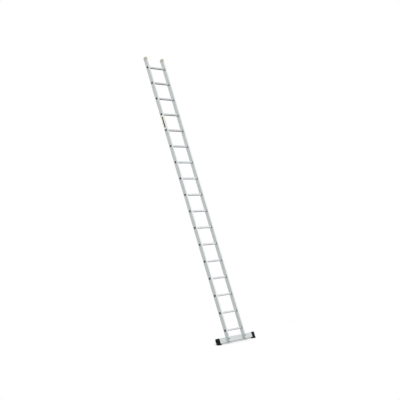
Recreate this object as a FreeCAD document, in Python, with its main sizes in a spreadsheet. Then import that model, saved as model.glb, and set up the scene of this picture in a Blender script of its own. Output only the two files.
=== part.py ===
import FreeCAD, Part
import math
import os
import Sketcher

# A single-section aluminium leaning ladder with a stabiliser bar, standing as it is used.
#
# Row frame, millimetres: +Z is up, +X is to the climber's right, and the ladder leans back towards
# +Y. The origin is on the floor, midway between the two rubber soles.
#
# Most pieces are drawn in the ladder's own directions and leaned back by their Placement:
#   x  sideways, from the ladder's middle
#   n  depth, from the stiles' front faces towards the wall (a body's local Y)
#   s  distance up the stiles, from their lower ends (a body's local Z)

DIMENSIONS = [
    # alias, value in millimetres (degrees for lean), meaning
    ("lean", 21.6, "angle of the stiles from the vertical"),
    ("ladder_width", 420, "over the outer faces of both stiles"),
    ("stile_length", 4788, "length of one stile"),
    ("stile_depth", 66, "stile section, front to back"),
    ("stile_breadth", 25, "stile section, sideways"),
    ("stile_wall", 1.8, "stile wall thickness"),
    ("stile_corner", 2.5, "outside corner radius of the stile section"),
    ("rung_count", 17, "number of rungs"),
    ("rung_pitch", 280, "from rung to rung along the stiles"),
    ("first_rung", 180, "centre of the lowest rung above the stiles' lower ends"),
    ("rung_size", 28, "side of the square rung tube"),
    ("rung_wall", 1.6, "rung wall thickness"),
    ("rung_corner", 3, "outside corner radius of the rung tube"),
    ("rung_clearance", 0.1, "gap round the rung in its punched hole"),
    ("groove_count", 5, "anti-slip grooves on each side of a rung"),
    ("groove_pitch", 4.2, "from groove to groove"),
    ("groove_breadth", 1.6, "width of a groove"),
    ("groove_depth", 0.7, "depth of a groove"),
    ("bead_rise", 2.2, "how far the crimped bead and the flare stand out from the rung"),
    ("bead_length", 2.4, "length of the bead inside each stile"),
    ("flare_length", 1.2, "thickness of the flared rung end outside each stile"),
    ("plug_length", 16, "length of the plug in a rung's end"),
    ("plug_recess", 0.4, "how far the plug's face sits inside the flare"),
    ("plug_face", 2.5, "thickness of the plug's closed outer end"),
    ("plug_wall", 1.5, "wall of the plug inside the rung"),
    ("top_height", 47, "height of the top plug's front and back above the stile"),
    ("top_arch", 48, "radius of the top plug's arched top, seen from the side"),
    ("top_insert", 35, "how far the top plug reaches down into the stile"),
    ("top_wall", 2, "wall of the top plug round its hollow"),
    ("top_hollow", 36, "how far the top plug's hollow reaches up above the stile"),
    ("cap_clearance", 0.15, "gap between a cap or plug and the section that it fits"),
    ("bar_length", 930, "over both foot caps"),
    ("bar_height", 80, "stabiliser bar section, along the stiles"),
    ("bar_depth", 30, "stabiliser bar section, front to back"),
    ("bar_front", 32, "front of the bar behind the stiles' front faces"),
    ("bar_wall", 2, "stabiliser bar wall thickness"),
    ("bar_corner", 2, "outside corner radius of the bar"),
    ("foot_length", 68, "length of a foot cap over the bar's end"),
    ("foot_end", 3, "thickness of the foot cap's closed end"),
    ("foot_wall", 2.2, "wall of the foot cap round the bar"),
    ("foot_corner", 4, "corner radius of the foot cap"),
    ("foot_round", 2, "rounding of the foot cap's outer end"),
    ("sole_lip", 3, "how far the sole reaches past the foot cap, front and back"),
    ("sole_toe", 16, "how far the sole reaches inwards past the foot cap"),
    ("sole_thin", 5, "thickness of the sole at its rear edge"),
    ("sole_corner", 4, "rounding of the sole's upright edges"),
    ("bolt_height", 48, "bolt axis above the stiles' lower ends"),
    ("bolt_radius", 4, "bolt shank radius"),
    ("bolt_hole", 4.25, "bolt hole radius"),
    ("hexagon_flats", 13, "across the flats of the bolt head and the nut"),
    ("head_height", 5.3, "height of the bolt head"),
    ("washer_radius", 8, "outside radius of a washer"),
    ("washer_thickness", 1.6, "thickness of a washer"),
    ("nut_height", 8, "height of a lock nut"),
    ("nut_bore", 4.05, "radius of a lock nut's bore, which grips the bolt"),
    ("bolt_end", 3, "how far the bolt reaches past the nut"),
    ("spacer_radius", 6.5, "outside radius of the spacer sleeves"),
    ("shoe_flange", 2, "thickness of the stile plug's flange"),
    ("shoe_depth", 24, "how far the stile plug reaches up the stile"),
    ("rivet_radius", 2, "rivet body radius"),
    ("rivet_hole", 2.1, "rivet hole radius"),
    ("rivet_head", 4, "rivet head radius"),
    ("rivet_rise", 1.3, "height of the rivet head"),
    ("rivet_tail", 3, "how far the rivet reaches inside the bar"),
    ("label_length", 224, "length of the label along the stile"),
    ("label_breadth", 58, "width of the label across the stile"),
    ("label_thickness", 0.3, "thickness of the label"),
    ("label_corner", 4, "corner radius of the label"),
    ("label_rung", 13, "the label is midway between this rung and the next one up"),
]

RUNGS = next(value for alias, value, meaning in DIMENSIONS if alias == "rung_count")
SIDES = (("left", -1), ("right", 1))

# Expressions that several pieces share. FOOT_BACK is the depth of the sole's rear edge. LIFT and
# SHIFT move the ladder so that the soles are on the floor and centred on the origin.
STILE_MIDDLE = "(Sizes.ladder_width - Sizes.stile_breadth) / 2"
RUNG_DEPTH = "Sizes.stile_depth / 2"
BAR_MIDDLE = "(Sizes.bar_front + Sizes.bar_depth / 2)"
BAR_BACK = "(Sizes.bar_front + Sizes.bar_depth)"
FOOT_HALF = "(Sizes.bar_depth / 2 + Sizes.foot_wall + Sizes.sole_lip)"
FOOT_BACK = f"({BAR_MIDDLE} + {FOOT_HALF})"
FOOT_DROP = "(Sizes.foot_wall + Sizes.sole_thin)"
LIFT = f"({FOOT_BACK} * sin(Sizes.lean) + {FOOT_DROP} * cos(Sizes.lean))"
SHIFT = (
    f"(({FOOT_DROP} + {FOOT_HALF} * tan(Sizes.lean)) * sin(Sizes.lean)"
    f" - {BAR_MIDDLE} * cos(Sizes.lean))"
)

doc = FreeCAD.newDocument("leaning_ladder")


def make_sheet():
    """The driving dimensions, one row each: value in column A, meaning in column B."""
    sheet = doc.addObject("Spreadsheet::Sheet", "Sizes")
    for row, (alias, value, meaning) in enumerate(DIMENSIONS, start=1):
        sheet.set(f"A{row}", str(value))
        sheet.setAlias(f"A{row}", alias)
        sheet.set(f"B{row}", meaning)
    doc.recompute()


def new_body(name):
    body = doc.addObject("PartDesign::Body", name)
    body.Label = name
    body.AllowCompound = True
    return body


def origin_feature(body, role):
    return next(feature for feature in body.Origin.OriginFeatures if feature.Role == role)


def new_sketch(body, name, plane, offset="0"):
    """A sketch on one of the body's origin planes, moved along the plane's normal by offset."""
    sketch = body.newObject("Sketcher::SketchObject", name)
    sketch.AttachmentSupport = (origin_feature(body, plane), [""])
    sketch.MapMode = "FlatFace"
    if offset != "0":
        sketch.setExpression("AttachmentOffset.Base.z", offset)
    return sketch


def bind(sketch, constraint, name, expression):
    """Adds a dimension to the sketch and binds it to the sheet."""
    index = sketch.addConstraint(constraint)
    sketch.renameConstraint(index, name)
    sketch.setExpression(f"Constraints.{name}", expression)


def locate(sketch, name, geometry, point, x, y):
    """Ties one point of the sketch to the origin."""
    for kind, axis, expression in (("DistanceX", -2, x), ("DistanceY", -1, y)):
        value = float(sketch.evalExpression(expression))
        if value == 0:
            sketch.addConstraint(Sketcher.Constraint("PointOnObject", geometry, point, axis))
        else:
            place = Sketcher.Constraint(kind, -1, 1, geometry, point, value)
            bind(sketch, place, f"{name}_{kind[-1].lower()}", expression)


def rectangle(sketch, name, left, bottom, width, height):
    x, y, wide, high = (float(sketch.evalExpression(e)) for e in (left, bottom, width, height))
    corners = [
        FreeCAD.Vector(x, y),
        FreeCAD.Vector(x + wide, y),
        FreeCAD.Vector(x + wide, y + high),
        FreeCAD.Vector(x, y + high),
    ]
    first = sketch.GeometryCount
    for index in range(4):
        sketch.addGeometry(Part.LineSegment(corners[index], corners[(index + 1) % 4]))
    for index in range(4):
        following = first + (index + 1) % 4
        direction = "Horizontal" if index % 2 == 0 else "Vertical"
        sketch.addConstraint(Sketcher.Constraint("Coincident", first + index, 2, following, 1))
        sketch.addConstraint(Sketcher.Constraint(direction, first + index))
    bind(sketch, Sketcher.Constraint("DistanceX", first, 1, first, 2, wide), f"{name}_width", width)
    bind(sketch, Sketcher.Constraint("DistanceY", first + 1, 1, first + 1, 2, high), f"{name}_height", height)
    locate(sketch, name, first, 1, left, bottom)


def rounded_rectangle(sketch, name, left, bottom, width, height, radius):
    """Four lines joined by four tangent arcs. left and bottom are where the sharp corner would be."""
    expressions = (left, bottom, width, height, radius)
    x, y, wide, high, turn = (float(sketch.evalExpression(e)) for e in expressions)
    corners = [(x, y), (x + wide, y), (x + wide, y + high), (x, y + high)]
    steps = [(1, 0), (0, 1), (-1, 0), (0, -1)]
    first = sketch.GeometryCount
    for index in range(4):
        start = FreeCAD.Vector(*corners[index])
        end = FreeCAD.Vector(*corners[(index + 1) % 4])
        along = FreeCAD.Vector(*steps[index])
        inward = FreeCAD.Vector(*steps[(index + 1) % 4])
        centre = end - along * turn + inward * turn
        begin = (index - 1) * math.pi / 2
        round_corner = Part.Circle(centre, FreeCAD.Vector(0, 0, 1), turn)
        sketch.addGeometry(Part.LineSegment(start + along * turn, end - along * turn))
        sketch.addGeometry(Part.ArcOfCircle(round_corner, begin, begin + math.pi / 2))
    for index in range(4):
        line = first + 2 * index
        following = first + 2 * ((index + 1) % 4)
        direction = "Horizontal" if index % 2 == 0 else "Vertical"
        sketch.addConstraint(Sketcher.Constraint("Tangent", line, 2, line + 1, 1))
        sketch.addConstraint(Sketcher.Constraint("Tangent", line + 1, 2, following, 1))
        sketch.addConstraint(Sketcher.Constraint(direction, line))
        if index > 0:
            sketch.addConstraint(Sketcher.Constraint("Equal", first + 1, line + 1))
    bind(sketch, Sketcher.Constraint("Radius", first + 1, turn), f"{name}_radius", radius)
    across = Sketcher.Constraint("DistanceX", first + 6, 1, first + 2, 1, wide)
    upwards = Sketcher.Constraint("DistanceY", first, 1, first + 4, 1, high)
    bind(sketch, across, f"{name}_width", width)
    bind(sketch, upwards, f"{name}_height", height)
    locate(sketch, name, first, 1, f"{left} + {radius}", bottom)


def circle(sketch, name, x, y, radius):
    size = float(sketch.evalExpression(radius))
    centre = FreeCAD.Vector(float(sketch.evalExpression(x)), float(sketch.evalExpression(y)))
    index = sketch.addGeometry(Part.Circle(centre, FreeCAD.Vector(0, 0, 1), size))
    bind(sketch, Sketcher.Constraint("Radius", index, size), f"{name}_radius", radius)
    locate(sketch, name, index, 3, x, y)


def hexagon(sketch, name, flats):
    """A regular hexagon about the sketch's origin, with two flats parallel to the sketch's x."""
    inner = float(sketch.evalExpression(flats)) / 2
    guide = sketch.addGeometry(Part.Circle(FreeCAD.Vector(), FreeCAD.Vector(0, 0, 1), inner), True)
    sketch.addConstraint(Sketcher.Constraint("Coincident", guide, 3, -1, 1))
    bind(sketch, Sketcher.Constraint("Diameter", guide, 2 * inner), f"{name}_flats", flats)
    turn = FreeCAD.Rotation(FreeCAD.Vector(0, 0, 1), 60)
    corner = FreeCAD.Vector(inner * math.tan(math.pi / 6), -inner)
    first = sketch.GeometryCount
    for index in range(6):
        following = turn.multVec(corner)
        sketch.addGeometry(Part.LineSegment(corner, following))
        corner = following
    for index in range(6):
        side = first + index
        sketch.addConstraint(Sketcher.Constraint("Coincident", side, 2, first + (index + 1) % 6, 1))
        sketch.addConstraint(Sketcher.Constraint("Tangent", side, guide))
        if 0 < index < 5:
            sketch.addConstraint(Sketcher.Constraint("Equal", first, side))
    sketch.addConstraint(Sketcher.Constraint("Horizontal", first + 5))


def pad(body, name, sketch, length, both_ways=False, backwards=False):
    feature = body.newObject("PartDesign::Pad", name)
    feature.Profile = sketch
    feature.SideType = "Symmetric" if both_ways else "One side"
    feature.Reversed = backwards
    feature.setExpression("Length", length)
    sketch.Visibility = False
    doc.recompute()
    return feature


def pocket(body, name, sketch, both_ways=False, forwards=False, depth=None):
    """Cuts against the sketch's normal, or along it if forwards. No depth means all the way."""
    before = body.Shape.Volume
    feature = body.newObject("PartDesign::Pocket", name)
    feature.Profile = sketch
    feature.SideType = "Symmetric" if both_ways else "One side"
    feature.Reversed = forwards
    if depth is None:
        feature.Type = "ThroughAll"
    else:
        feature.Type = "Length"
        feature.setExpression("Length", depth)
    sketch.Visibility = False
    doc.recompute()
    if body.Shape.Volume >= before:
        raise RuntimeError(f"{body.Label}: {name} cuts nothing")
    return feature


def row_of(body, name, features, axis, spacing, count):
    """Repeats features along one of the body's axes."""
    pattern = body.newObject("PartDesign::LinearPattern", name)
    pattern.Originals = features
    pattern.Direction = (origin_feature(body, axis), [""])
    pattern.Mode = "Spacing"
    pattern.setExpression("Offset", spacing)
    pattern.setExpression("Occurrences", count)
    body.Tip = pattern
    doc.recompute()
    return pattern


def mirror(body, name, features, plane):
    twin = body.newObject("PartDesign::Mirrored", name)
    twin.Originals = features
    twin.MirrorPlane = (origin_feature(body, plane), [""])
    body.Tip = twin
    doc.recompute()
    return twin


def round_edges(body, name, base, radius, chosen):
    """Fillets the edges of base for which chosen(edge) is true."""
    names = [f"Edge{i}" for i, edge in enumerate(base.Shape.Edges, start=1) if chosen(edge)]
    feature = body.newObject("PartDesign::Fillet", name)
    feature.Base = (base, names)
    feature.setExpression("Radius", radius)
    doc.recompute()
    return feature


def lean_back(body, x="0", n="0", s="0"):
    """Puts the body's origin at x, n, s on the ladder and leans it with the ladder."""
    body.Placement = FreeCAD.Placement(
        FreeCAD.Vector(), FreeCAD.Rotation(FreeCAD.Vector(1, 0, 0), -1)
    )
    body.setExpression("Placement.Rotation.Angle", "-Sizes.lean")
    body.setExpression("Placement.Base.x", x)
    body.setExpression(
        "Placement.Base.y", f"({n}) * cos(Sizes.lean) + ({s}) * sin(Sizes.lean) + {SHIFT}"
    )
    body.setExpression(
        "Placement.Base.z", f"({s}) * cos(Sizes.lean) - ({n}) * sin(Sizes.lean) + {LIFT}"
    )


def flat_at(edge, axis, value):
    """True if the whole edge lies at one value of a coordinate."""
    box = edge.BoundBox
    low = getattr(box, f"{axis}Min")
    high = getattr(box, f"{axis}Max")
    return abs(low - value) < 0.01 and abs(high - value) < 0.01


def make_stile(side, sign):
    """A box extrusion, punched through both side walls for every rung. Its foot is notched from
    behind, so that the stabiliser bar sits between its front flange and its back."""
    body = new_body(f"stile_{side}")
    section = new_sketch(body, f"stile_section_{side}", "XY_Plane")
    rounded_rectangle(
        section, "outside", "-Sizes.stile_breadth / 2", "0",
        "Sizes.stile_breadth", "Sizes.stile_depth", "Sizes.stile_corner",
    )
    rounded_rectangle(
        section, "inside", "Sizes.stile_wall - Sizes.stile_breadth / 2", "Sizes.stile_wall",
        "Sizes.stile_breadth - 2 * Sizes.stile_wall", "Sizes.stile_depth - 2 * Sizes.stile_wall",
        "Sizes.stile_corner - Sizes.stile_wall",
    )
    pad(body, f"stile_extrusion_{side}", section, "Sizes.stile_length")

    hole_side = "(Sizes.rung_size + 2 * Sizes.rung_clearance)"
    hole = new_sketch(body, f"rung_hole_{side}", "YZ_Plane")
    rounded_rectangle(
        hole, "hole", f"{RUNG_DEPTH} - {hole_side} / 2", f"Sizes.first_rung - {hole_side} / 2",
        hole_side, hole_side, "Sizes.rung_corner",
    )
    punched = pocket(body, f"rung_punch_{side}", hole, both_ways=True)
    row_of(body, f"rung_holes_{side}", [punched], "Z_Axis", "Sizes.rung_pitch", "Sizes.rung_count")

    gap = new_sketch(body, f"bar_notch_{side}", "YZ_Plane")
    rectangle(
        gap, "notch", "Sizes.bar_front", "-Sizes.bar_height",
        "Sizes.stile_depth", "2 * Sizes.bar_height",
    )
    pocket(body, f"bar_notch_cut_{side}", gap, both_ways=True)

    drilled = new_sketch(body, f"bolt_hole_{side}", "XZ_Plane")
    circle(drilled, "bolt", "0", "Sizes.bolt_height", "Sizes.bolt_hole")
    pocket(body, f"bolt_drilling_{side}", drilled)
    lean_back(body, x=f"{sign} * {STILE_MIDDLE}")


def rung_inside(sketch):
    """The rung tube's inner outline, about the rung's axis."""
    inside = "(Sizes.rung_size - 2 * Sizes.rung_wall)"
    rounded_rectangle(
        sketch, "inside", f"-{inside} / 2", f"-{inside} / 2",
        inside, inside, "Sizes.rung_corner - Sizes.rung_wall",
    )


def rung_collar(body, name, start, length):
    """A square ring round the rung, and its twin at the other end."""
    outside = "(Sizes.rung_size + 2 * Sizes.bead_rise)"
    ring = new_sketch(body, f"{name}_outline", "YZ_Plane", start)
    rounded_rectangle(
        ring, "outside", f"-{outside} / 2", f"-{outside} / 2",
        outside, outside, "Sizes.rung_corner + Sizes.bead_rise",
    )
    rung_inside(ring)
    collar = pad(body, name, ring, length)
    mirror(body, f"{name}_twin", [collar], "YZ_Plane")


def make_rung(number):
    """A grooved square tube through both stiles. A crimped bead inside each stile and a flare
    outside it hold the rung fast."""
    body = new_body(f"rung_{number:02d}")
    section = new_sketch(body, f"rung_section_{number:02d}", "YZ_Plane")
    rounded_rectangle(
        section, "outside", "-Sizes.rung_size / 2", "-Sizes.rung_size / 2",
        "Sizes.rung_size", "Sizes.rung_size", "Sizes.rung_corner",
    )
    rung_inside(section)
    pad(
        body, f"rung_tube_{number:02d}", section,
        "Sizes.ladder_width + 2 * Sizes.flare_length", both_ways=True,
    )

    grooves = new_sketch(body, f"groove_section_{number:02d}", "YZ_Plane")
    for index in range(int(grooves.evalExpression("Sizes.groove_count"))):
        middle = f"({index} - (Sizes.groove_count - 1) / 2) * Sizes.groove_pitch"
        rectangle(
            grooves, f"groove_{index}", f"{middle} - Sizes.groove_breadth / 2",
            "Sizes.rung_size / 2 - Sizes.groove_depth", "Sizes.groove_breadth", "Sizes.rung_size",
        )
    cut = pocket(body, f"groove_cut_{number:02d}", grooves, both_ways=True)
    around = body.newObject("PartDesign::PolarPattern", f"groove_sides_{number:02d}")
    around.Originals = [cut]
    around.Axis = (origin_feature(body, "X_Axis"), [""])
    around.Angle = 360
    around.Occurrences = 4
    body.Tip = around
    doc.recompute()

    bead_start = "Sizes.ladder_width / 2 - Sizes.stile_breadth - Sizes.bead_length"
    rung_collar(body, f"bead_{number:02d}", bead_start, "Sizes.bead_length")
    rung_collar(body, f"flare_{number:02d}", "Sizes.ladder_width / 2", "Sizes.flare_length")
    lean_back(body, n=RUNG_DEPTH, s=f"Sizes.first_rung + {number - 1} * Sizes.rung_pitch")


def make_rung_plugs(side, sign):
    """One cup-shaped plug in each rung's end, all the way up a stile."""
    body = new_body(f"rung_plugs_{side}")
    plug = new_sketch(body, f"plug_section_{side}", "YZ_Plane")
    plug_side = "(Sizes.rung_size - 2 * Sizes.rung_wall - 2 * Sizes.rung_clearance)"
    rounded_rectangle(
        plug, "outside", f"-{plug_side} / 2", f"-{plug_side} / 2",
        plug_side, plug_side, "Sizes.rung_corner - Sizes.rung_wall",
    )
    block = pad(body, f"plug_{side}", plug, "Sizes.plug_length", backwards=sign > 0)
    hollow = new_sketch(body, f"plug_hollow_{side}", "YZ_Plane", f"{-sign} * Sizes.plug_face")
    hollow_side = f"({plug_side} - 2 * Sizes.plug_wall)"
    rectangle(
        hollow, "inside", f"-{hollow_side} / 2", f"-{hollow_side} / 2", hollow_side, hollow_side
    )
    cavity = pocket(body, f"plug_cavity_{side}", hollow, forwards=sign < 0)
    row_of(body, f"plugs_{side}", [block, cavity], "Z_Axis", "Sizes.rung_pitch", "Sizes.rung_count")
    face = "(Sizes.ladder_width / 2 + Sizes.flare_length - Sizes.plug_recess)"
    lean_back(body, x=f"{sign} * {face}", n=RUNG_DEPTH, s="Sizes.first_rung")


def arch(sketch, name, left, bottom, width, side, radius):
    """A rectangle whose top side is an arc of the given radius."""
    expressions = (left, bottom, width, side, radius)
    x, y, wide, high, turn = (float(sketch.evalExpression(e)) for e in expressions)
    half_turn = math.asin(wide / 2 / turn)
    centre = FreeCAD.Vector(x + wide / 2, y + high - turn * math.cos(half_turn))
    crown = Part.Circle(centre, FreeCAD.Vector(0, 0, 1), turn)
    left_foot = FreeCAD.Vector(x, y)
    right_foot = FreeCAD.Vector(x + wide, y)
    rise = FreeCAD.Vector(0, high)
    sketch.addGeometry(Part.LineSegment(left_foot, right_foot))
    sketch.addGeometry(Part.LineSegment(right_foot, right_foot + rise))
    sketch.addGeometry(
        Part.ArcOfCircle(crown, math.pi / 2 - half_turn, math.pi / 2 + half_turn)
    )
    sketch.addGeometry(Part.LineSegment(left_foot + rise, left_foot))
    for index in range(4):
        sketch.addConstraint(Sketcher.Constraint("Coincident", index, 2, (index + 1) % 4, 1))
    sketch.addConstraint(Sketcher.Constraint("Horizontal", 0))
    sketch.addConstraint(Sketcher.Constraint("Vertical", 1))
    sketch.addConstraint(Sketcher.Constraint("Vertical", 3))
    sketch.addConstraint(Sketcher.Constraint("Equal", 1, 3))
    bind(sketch, Sketcher.Constraint("Radius", 2, turn), f"{name}_radius", radius)
    bind(sketch, Sketcher.Constraint("DistanceX", 0, 1, 0, 2, wide), f"{name}_width", width)
    bind(sketch, Sketcher.Constraint("DistanceY", 1, 1, 1, 2, high), f"{name}_side", side)
    locate(sketch, name, 0, 1, left, bottom)


def insert_outline(body, name, plug_depth, wall="0"):
    """A sketch of what fits inside the stile's section over plug_depth, or of its hollow."""
    outline = new_sketch(body, name, "XY_Plane")
    edge = f"(Sizes.stile_wall + Sizes.cap_clearance + {wall})"
    rectangle(
        outline, "insert", f"{edge} - Sizes.stile_breadth / 2", edge,
        f"Sizes.stile_breadth - 2 * {edge}", f"{plug_depth} - 2 * {edge}",
    )
    return outline


def make_top_plug(side, sign):
    """Closes the stile's upper end. Its head is flush with the stile all round, and its top is an
    arch from front to back, so that it slides along a wall. It is hollow from below."""
    body = new_body(f"top_plug_{side}")
    profile = new_sketch(body, f"top_plug_profile_{side}", "YZ_Plane")
    arch(profile, "head", "0", "0", "Sizes.stile_depth", "Sizes.top_height", "Sizes.top_arch")
    head = pad(body, f"top_plug_head_{side}", profile, "Sizes.stile_breadth", both_ways=True)
    round_edges(
        body, f"top_plug_rounding_{side}", head, "Sizes.stile_corner",
        lambda edge: not flat_at(edge, "Z", 0),
    )
    insert = insert_outline(body, f"top_plug_insert_{side}", "Sizes.stile_depth")
    pad(body, f"top_plug_block_{side}", insert, "Sizes.top_insert", backwards=True)
    hollow = insert_outline(
        body, f"top_plug_hollow_{side}", "Sizes.stile_depth", "Sizes.top_wall"
    )
    hollow.setExpression("AttachmentOffset.Base.z", "-Sizes.top_insert")
    pocket(
        body, f"top_plug_cavity_{side}", hollow, forwards=True,
        depth="Sizes.top_insert + Sizes.top_hollow",
    )
    lean_back(body, x=f"{sign} * {STILE_MIDDLE}", s="Sizes.stile_length")


def make_stile_plug(side, sign):
    """Closes the open lower end of the stile's front half, in front of the stabiliser bar."""
    body = new_body(f"stile_plug_{side}")
    flange = new_sketch(body, f"stile_plug_flange_{side}", "XY_Plane")
    rectangle(
        flange, "flange", "-Sizes.stile_breadth / 2", "0", "Sizes.stile_breadth", "Sizes.bar_front"
    )
    pad(body, f"stile_plug_plate_{side}", flange, "Sizes.shoe_flange", backwards=True)
    insert = insert_outline(body, f"stile_plug_insert_{side}", "Sizes.bar_front")
    pad(body, f"stile_plug_block_{side}", insert, "Sizes.shoe_depth")
    lean_back(body, x=f"{sign} * {STILE_MIDDLE}")


def make_stabiliser_bar():
    """The box section across the foot, with its bolt and rivet holes."""
    body = new_body("stabiliser_bar")
    section = new_sketch(body, "bar_section", "YZ_Plane")
    rounded_rectangle(
        section, "outside", "0", "0", "Sizes.bar_depth", "Sizes.bar_height", "Sizes.bar_corner"
    )
    rectangle(
        section, "inside", "Sizes.bar_wall", "Sizes.bar_wall",
        "Sizes.bar_depth - 2 * Sizes.bar_wall", "Sizes.bar_height - 2 * Sizes.bar_wall",
    )
    pad(body, "bar_extrusion", section, "Sizes.bar_length - 2 * Sizes.foot_end", both_ways=True)
    bolt = new_sketch(body, "bar_bolt_hole", "XZ_Plane")
    circle(bolt, "bolt", f"-{STILE_MIDDLE}", "Sizes.bolt_height", "Sizes.bolt_hole")
    bolt_cut = pocket(body, "bar_bolt_drilling", bolt)
    mirror(body, "bar_bolt_drilling_twin", [bolt_cut], "YZ_Plane")
    rivet = new_sketch(body, "bar_rivet_hole", "XZ_Plane", "-Sizes.bar_depth / 2")
    circle(
        rivet, "rivet", "(Sizes.foot_length - Sizes.bar_length) / 2", "Sizes.bar_height / 2",
        "Sizes.rivet_hole",
    )
    rivet_cut = pocket(body, "bar_rivet_drilling", rivet)
    mirror(body, "bar_rivet_drilling_twin", [rivet_cut], "YZ_Plane")
    lean_back(body, n="Sizes.bar_front")


def make_foot_cap(side, sign):
    """A moulded cap over the bar's end, closed at its outer end."""
    body = new_body(f"foot_cap_{side}")
    outline = new_sketch(body, f"foot_cap_outline_{side}", "YZ_Plane")
    rounded_rectangle(
        outline, "outside", "-Sizes.foot_wall", "-Sizes.foot_wall",
        "Sizes.bar_depth + 2 * Sizes.foot_wall", "Sizes.bar_height + 2 * Sizes.foot_wall",
        "Sizes.foot_corner",
    )
    block = pad(body, f"foot_cap_block_{side}", outline, "Sizes.foot_length", backwards=sign > 0)
    round_edges(
        body, f"foot_cap_rounding_{side}", block, "Sizes.foot_round",
        lambda edge: flat_at(edge, "X", 0),
    )
    hollow = new_sketch(body, f"foot_cap_hollow_{side}", "YZ_Plane", f"{-sign} * Sizes.foot_end")
    rounded_rectangle(
        hollow, "inside", "-Sizes.cap_clearance", "-Sizes.cap_clearance",
        "Sizes.bar_depth + 2 * Sizes.cap_clearance", "Sizes.bar_height + 2 * Sizes.cap_clearance",
        "Sizes.bar_corner",
    )
    pocket(
        body, f"foot_cap_cavity_{side}", hollow, forwards=sign < 0, depth="Sizes.foot_length"
    )
    rivet = new_sketch(body, f"foot_cap_rivet_{side}", "XZ_Plane", "-Sizes.bar_depth / 2")
    circle(
        rivet, "rivet", f"{-sign} * Sizes.foot_length / 2", "Sizes.bar_height / 2",
        "Sizes.rivet_hole",
    )
    pocket(body, f"foot_cap_drilling_{side}", rivet)
    lean_back(body, x=f"{sign} * Sizes.bar_length / 2", n="Sizes.bar_front")


def make_sole(side, sign):
    """A rubber wedge under the foot cap: its top follows the leaning cap and its underside lies
    flat on the floor."""
    body = new_body(f"sole_{side}")
    profile = new_sketch(body, f"sole_profile_{side}", "YZ_Plane")
    depth = float(profile.evalExpression(f"2 * {FOOT_HALF}"))
    thin = float(profile.evalExpression("Sizes.sole_thin"))
    thick = float(profile.evalExpression(f"Sizes.sole_thin + 2 * {FOOT_HALF} * tan(Sizes.lean)"))
    corners = [
        FreeCAD.Vector(0, 0),
        FreeCAD.Vector(-depth, 0),
        FreeCAD.Vector(-depth, -thick),
        FreeCAD.Vector(0, -thin),
    ]
    for index in range(4):
        profile.addGeometry(Part.LineSegment(corners[index], corners[(index + 1) % 4]))
    for index in range(4):
        profile.addConstraint(Sketcher.Constraint("Coincident", index, 2, (index + 1) % 4, 1))
    profile.addConstraint(Sketcher.Constraint("Coincident", 0, 1, -1, 1))
    profile.addConstraint(Sketcher.Constraint("Horizontal", 0))
    profile.addConstraint(Sketcher.Constraint("Vertical", 1))
    profile.addConstraint(Sketcher.Constraint("Vertical", 3))
    bind(profile, Sketcher.Constraint("DistanceX", 0, 2, 0, 1, depth), "depth", f"2 * {FOOT_HALF}")
    bind(profile, Sketcher.Constraint("DistanceY", 3, 1, 3, 2, thin), "thin", "Sizes.sole_thin")
    bind(
        profile, Sketcher.Constraint("DistanceY", 1, 2, 1, 1, thick), "thick",
        f"Sizes.sole_thin + 2 * {FOOT_HALF} * tan(Sizes.lean)",
    )
    wedge = pad(
        body, f"sole_wedge_{side}", profile, "Sizes.foot_length + Sizes.sole_toe", backwards=sign > 0
    )
    round_edges(
        body, f"sole_rounding_{side}", wedge, "Sizes.sole_corner",
        lambda edge: edge.BoundBox.XLength < 0.01 and edge.BoundBox.YLength < 0.01,
    )
    lean_back(body, x=f"{sign} * Sizes.bar_length / 2", n=FOOT_BACK, s="-Sizes.foot_wall")


def pair_across(body, name, features):
    """Repeats features at the other stile."""
    return row_of(body, name, features, "X_Axis", f"2 * {STILE_MIDDLE}", "2")


def make_bolts():
    """The two hexagon bolts that hold the bar, heads at the front."""
    body = new_body("bolts")
    flats = new_sketch(body, "bolt_head_outline", "XZ_Plane")
    hexagon(flats, "head", "Sizes.hexagon_flats")
    head = pad(body, "bolt_head", flats, "Sizes.head_height")
    round_bar = new_sketch(body, "bolt_shank_outline", "XZ_Plane")
    circle(round_bar, "shank", "0", "0", "Sizes.bolt_radius")
    length = f"({BAR_BACK} + 2 * Sizes.washer_thickness + Sizes.nut_height + Sizes.bolt_end)"
    shank = pad(body, "bolt_shank", round_bar, length, backwards=True)
    pair_across(body, "bolt_pair", [head, shank])
    lean_back(body, x=f"-{STILE_MIDDLE}", n="-Sizes.washer_thickness", s="Sizes.bolt_height")


def make_ring_pair(name, radius, front, length):
    """Two round rings on the bolts: washers and spacer sleeves. front is the ring's front face."""
    body = new_body(name)
    outline = new_sketch(body, f"{name}_outline", "XZ_Plane")
    circle(outline, "outside", "0", "0", radius)
    circle(outline, "inside", "0", "0", "Sizes.bolt_hole")
    ring = pad(body, f"{name}_ring", outline, length, backwards=True)
    pair_across(body, f"{name}_pair", [ring])
    lean_back(body, x=f"-{STILE_MIDDLE}", n=front, s="Sizes.bolt_height")


def make_nuts():
    body = new_body("lock_nuts")
    outline = new_sketch(body, "nut_outline", "XZ_Plane")
    hexagon(outline, "nut", "Sizes.hexagon_flats")
    circle(outline, "bore", "0", "0", "Sizes.nut_bore")
    nut = pad(body, "nut", outline, "Sizes.nut_height", backwards=True)
    pair_across(body, "nut_pair", [nut])
    lean_back(
        body, x=f"-{STILE_MIDDLE}", n=f"{BAR_BACK} + Sizes.washer_thickness", s="Sizes.bolt_height"
    )


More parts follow.
